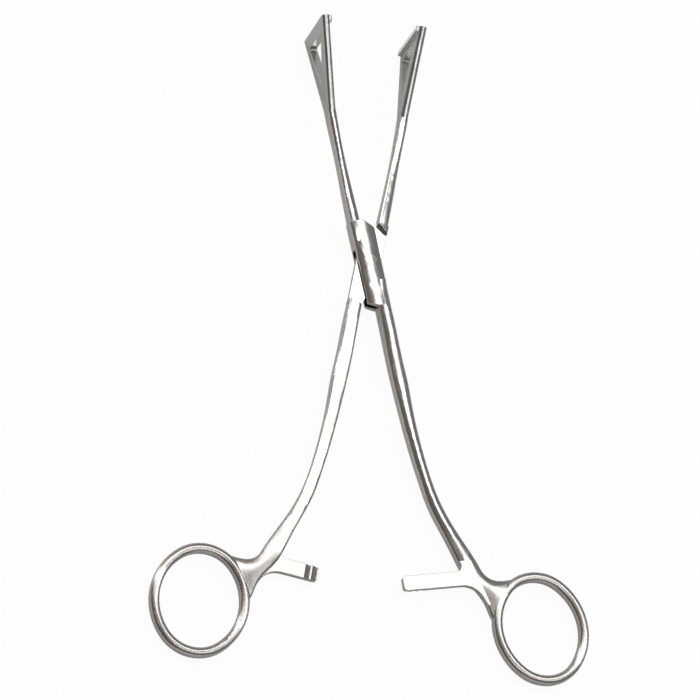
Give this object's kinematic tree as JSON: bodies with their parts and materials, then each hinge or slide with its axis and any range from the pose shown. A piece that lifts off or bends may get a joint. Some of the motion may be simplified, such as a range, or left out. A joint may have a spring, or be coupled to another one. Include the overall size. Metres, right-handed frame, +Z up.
{
  "type": "lung grasping forceps",
  "caption": "Long ratcheted forceps with a box lock, oval finger rings and open triangular jaws with serrated edges, for holding soft tissue.",
  "frame": {"origin": "centre of the bounding box on the surface that the open forceps lies on", "axes": "+Y from the finger rings to the jaws, +Z up from the surface, +X across both arms"},
  "size_m": [0.1266, 0.1946, 0.0194],
  "materials": {
    "polished_steel": "polished shanks, satin rings and jaws",
    "pin_steel": "ground flush"
  },
  "bodies": {
    "box_side": {"box_arm": "polished_steel", "lock_pin": "pin_steel"},
    "tongue_side": {"tongue_arm": "polished_steel"}
  },
  "joints": [
    {"name": "lock_hinge", "type": "hinge", "parent": "box_side", "child": "tongue_side", "pos_m": [0, 0.02421, 0.00683], "axis": [0, -0.0395, 0.9992], "range_deg": [-12, 20]}
  ]
}
